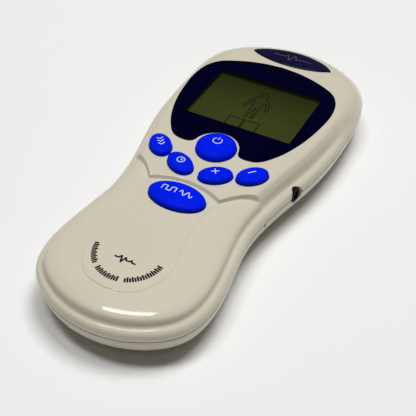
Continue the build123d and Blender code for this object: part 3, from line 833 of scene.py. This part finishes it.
def lens_ring(inset):
    """Lens outline pulled in square to itself."""
    p = np.array(lens_outline())
    ahead = np.roll(p, -1, 0) - np.roll(p, 1, 0)
    ahead /= np.linalg.norm(ahead, axis=1)[:, None]
    return p + np.stack([ahead[:, 1], -ahead[:, 0]], 1) * inset


border = [(0.0, LENS_FLOOR), (0.0, LENS_TOP - 0.35), (0.06, LENS_TOP - 0.18), (0.2, LENS_TOP - 0.05),
          (0.45, LENS_TOP)]
rings = [np.column_stack([lens_ring(inset), np.full(len(lens_outline()), z)]) for inset, z in border]
window = skin("window_rim", [[tuple(ring[n]) for ring in rings] for n in range(len(rings[0]))], closed=True)
# the rim is open above and below, so both ends are closed with a flat face
fill = bmesh.new()
fill.from_mesh(window.data)
for z in (LENS_TOP, LENS_FLOOR):
    loop = [e for e in fill.edges if e.is_boundary and abs(e.verts[0].co.z / MM - z) < 0.001]
    bmesh.ops.contextual_create(fill, geom=loop)
bmesh.ops.recalc_face_normals(fill, faces=fill.faces)
fill.to_mesh(window.data)
fill.free()
window.name = "display_window"
VIEW_CORNER = 0.6
carve(window, [prism("clear_area", rounded_box(*VIEW, VIEW_CORNER), 18, 21)])
even_shading(window, weight=100)
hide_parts("display_lens")
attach(window, "case")
paint(window, lens_ink)

clear = moulded("clear_acrylic", (0.02, 0.025, 0.012), 0.06, spread=0.1, grain=0.01, grain_scale=200,
                gloss=0.1)
clear.node_tree.nodes["Principled BSDF"].inputs["Alpha"].default_value = 0.08
x0, y0, x1, y1 = VIEW
pane_plan = rounded_box(x0 - 0.02, y0 - 0.02, x1 + 0.02, y1 + 0.02, VIEW_CORNER)
pane = prism("clear_pane", pane_plan, LENS_TOP - 0.6, LENS_TOP - 0.02)
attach(pane, "case")
paint(pane, clear)

# ---- display -----------------------------------------------------------------
# Reflective liquid-crystal glass, olive under its polariser, showing a
# standing figure on two pad boxes.
lcd = moulded("lcd_olive", (0.052, 0.064, 0.012), 0.35, spread=0.08, grain=0.02, grain_scale=300,
              gloss=0.1)


def paint_far_end_shade(material, near_y, far_y, dark, most):
    """Blend a material's colour into a darker one between two places along Y, in metres, as painted shade.
    """
    tree = material.node_tree
    colour = tree.nodes["Principled BSDF"].inputs["Base Color"]
    place = next(n for n in tree.nodes if n.type == "TEX_COORD")
    axes = tree.nodes.new("ShaderNodeSeparateXYZ")
    fall = tree.nodes.new("ShaderNodeMapRange")
    fall.inputs["From Min"].default_value = near_y
    fall.inputs["From Max"].default_value = far_y
    fall.inputs["To Max"].default_value = most
    darker = tree.nodes.new("ShaderNodeMix")
    darker.data_type = "RGBA"
    first, second = [i for i in darker.inputs if i.type == "RGBA"]
    second.default_value = (*dark, 1)
    tree.links.new(colour.links[0].from_socket, first)
    tree.links.new(place.outputs["Object"], axes.inputs["Vector"])
    tree.links.new(axes.outputs["Y"], fall.inputs["Value"])
    tree.links.new(fall.outputs["Result"], darker.inputs["Factor"])
    tree.links.new(next(o for o in darker.outputs if o.type == "RGBA"), colour)


# painted shade: the display glass gets darker towards its far edge, standing in for the shadow that the
# window's printed border casts on the sunken display
paint_far_end_shade(lcd, 0.024, 0.047, (0.010, 0.012, 0.002), 0.75)
repaint("lcd_front_glass", lcd)
GLASS_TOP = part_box("lcd_front_glass")[1][2] / MM
segment = moulded("lcd_segment", (0.008, 0.010, 0.004), 0.35, spread=0.1, grain=0.02, gloss=0.1)
FIGURE_X, FIGURE_Y, FIGURE_SCALE = 0.6, 24.6, 0.86
figure = [
    [(-1.0, 0), (-1.9, 0), (-1.7, 8.2), (-2.6, 12.6)],
    [(1.0, 0), (1.9, 0), (1.7, 8.2), (2.6, 12.6)],
    [(-1.0, 0), (-0.25, 7.6), (0.25, 7.6), (1.0, 0)],
    [(-2.6, 12.6), (-4.9, 6.6), (-5.7, 7.2), (-3.9, 13.6), (-1.1, 15.4)],
    [(2.6, 12.6), (4.9, 6.6), (5.7, 7.2), (3.9, 13.6), (1.1, 15.4)],
    arc(0, 17.2, 1.75, -62, 242),
]
figure = [[(FIGURE_X + FIGURE_SCALE * x, FIGURE_Y + FIGURE_SCALE * y) for x, y in stroke]
          for stroke in figure]
boxes = [box_path(-5.4, 17.0, 0.1, 22.8), box_path(0.7, 17.0, 6.2, 22.8)]


def glass_z(x, y):
    """Top of the display glass."""
    return GLASS_TOP


ribbon("lcd_figure", figure + boxes, 0.42, glass_z, 0.02, "case", segment)

# ---- badge -------------------------------------------------------------------
# Almond badge of dark blue acrylic that follows the roll-off of the face, with
# a faint pulse line.
BADGE_TIP, BADGE_TIP_Y, BADGE_HIGH, BADGE_LOW = 16.4, 64.4, 71.6, 59.7
BADGE_THICK = 0.55
BADGE_ROUND = 0.72      # 0.5 is an ellipse, 1 has sharp tips


def badge_edge(x, way):
    """Y of the badge's upper (+1) or lower (-1) edge at x."""
    rise = BADGE_HIGH - BADGE_TIP_Y if way > 0 else BADGE_TIP_Y - BADGE_LOW
    return BADGE_TIP_Y + way * rise * max(0.0, 1 - (x / BADGE_TIP) ** 2) ** BADGE_ROUND


def badge_z(x, y):
    """Top of the badge."""
    return face_z(x, y) + BADGE_THICK


BADGE_SKIRT, SHOULDER = 0.5, 0.8        # glued depth, and width of the soft edge


def badge_row(x):
    """Lower edge to upper edge at one x, with soft shoulders and a skirt."""
    low, high = badge_edge(x, -1), badge_edge(x, 1)
    row = [(x, low, face_z(x, low) - BADGE_SKIRT)]
    for t in (0, 0.03, 0.08, 0.15, 0.3, 0.5, 0.7, 0.85, 0.92, 0.97, 1.0):
        y = low + (high - low) * t
        edge = min(y - low, high - y, (BADGE_TIP - abs(x)) * 0.9)
        row.append((x, y, face_z(x, y) + BADGE_THICK * ease(0.25 + edge / SHOULDER)))
    row.append((x, high, face_z(x, high) - BADGE_SKIRT))
    return row


reaches = [BADGE_TIP * 0.995 * math.sin(math.radians(a)) for a in range(-90, 91, 3)]
badge = settle(skin("badge", [badge_row(x) for x in reaches]), crease=60)
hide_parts("badge_plate")
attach(badge, "case")
badge_blue = moulded("badge_blue", (0.008, 0.007, 0.036), 0.2, spread=0.2, grain=0.02, grain_scale=400,
                     gloss=0.08)
paint(badge, badge_blue)
faint = moulded("badge_print", (0.07, 0.075, 0.13), 0.4, spread=0.1, grain=0.05)
wave = [(-8.0, 65.4), (-3.4, 65.4), (-2.4, 67.1), (-1.0, 63.1), (0.4, 67.7), (1.6, 64.8), (2.4, 65.4),
        (8.0, 65.4)]
ribbon("badge_wave", [wave], 0.45, badge_z, INK_LIFT, "case", faint)

# ---- sockets and inner pieces ------------------------------------------------
# Black sockets show in their holes; cells, springs, board and its parts keep
# their CAD shape and get plain workshop finishes.
black = moulded("black_moulding", (0.006, 0.006, 0.006), 0.5, spread=0.2, grain=0.1, gloss=0.08)
COLLAR_R, COLLAR_DEPTH, COLLAR_BEVEL = JACK_HOLE_R - 0.1, 1.9, 0.15
END_COLLAR_Y = 76.0


def collar(name, x, y, axis, bore_r, sunk):
    """Moulded ring that lines a socket's hole, its mouth sunk below the wall."""
    ring = turned(name, x, y, JACK_Z, axis,
                  [(-COLLAR_DEPTH, bore_r), (-COLLAR_DEPTH, COLLAR_R), (-sunk - COLLAR_BEVEL, COLLAR_R),
                   (-sunk, COLLAR_R - COLLAR_BEVEL), (-sunk, bore_r + 0.2), (-sunk - 0.2, bore_r),
                   (-COLLAR_DEPTH, bore_r)])
    settle(ring)
    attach(ring, "case")
    paint(ring, black)


collar("side_collar", JACK_WALL_X, SIDE_JACK_Y, (1, 0, 0), 1.8, 0.3)
collar("end_collar_1", -OUT_JACK_X, END_COLLAR_Y, (0, 1, 0), 1.3, 0.0)
collar("end_collar_2", OUT_JACK_X, END_COLLAR_Y, (0, 1, 0), 1.3, 0.0)
steel = moulded("zinc_steel", (0.55, 0.55, 0.57), 0.32, spread=0.08, grain=0.15, metallic=1.0)
nickel = moulded("nickel", (0.70, 0.68, 0.62), 0.25, spread=0.06, grain=0.08, metallic=1.0)
CELLS = ["cell_left", "cell_middle", "cell_right"]
finishes = {
    black: ["side_jack", "output_jack_a", "output_jack_b", "transformer_bobbin", "transistors", "processor",
            "resistors", "buzzer"],
    steel: ["case_screws", "board_screws", "cell_springs"],
    nickel: ["cell_plates", "jack_leaves", "processor_leads", "crystal"],
    moulded("carbon_rubber", (0.02, 0.02, 0.02), 0.7, spread=0.2, grain=0.3):
        [node.replace("_key", "_pill") for node in KEY_SIZES],
    moulded("silicone", (0.45, 0.47, 0.50), 0.5, spread=0.05, grain=0.1): ["keypad_mat"],
    moulded("black_foam", (0.03, 0.03, 0.03), 0.9, spread=0.4, grain=0.9, grain_scale=1200):
        ["door_foam"],
    moulded("lcd_back", (0.10, 0.11, 0.06), 0.3, spread=0.1): ["lcd_rear_glass"],
    moulded("zebra_rubber", (0.50, 0.50, 0.46), 0.6, spread=0.2): ["zebra_strip"],
    moulded("white_moulding", (0.70, 0.70, 0.70), 0.45): ["lcd_frame"],
    moulded("cell_sleeve", (0.35, 0.16, 0.03), 0.3, spread=0.1, metallic=0.6): CELLS,
    moulded("solder_mask", (0.02, 0.14, 0.05), 0.35, spread=0.2, grain=0.2, grain_scale=600):
        ["main_board"],
    moulded("gold_flash", (0.75, 0.52, 0.18), 0.25, metallic=1.0): ["contact_pads"],
    moulded("core_iron", (0.10, 0.095, 0.09), 0.5, spread=0.2, grain=0.4, metallic=0.8):
        ["transformer_core"],
    moulded("enamelled_copper", (0.45, 0.16, 0.05), 0.35, spread=0.25, grain=0.8, grain_scale=1500,
            metallic=0.7):
        ["transformer_winding"],
    moulded("capacitor_sleeve", (0.02, 0.03, 0.09), 0.3, spread=0.15): ["capacitors"],
}
for finish, nodes in finishes.items():
    for node in nodes:
        repaint(node, finish)
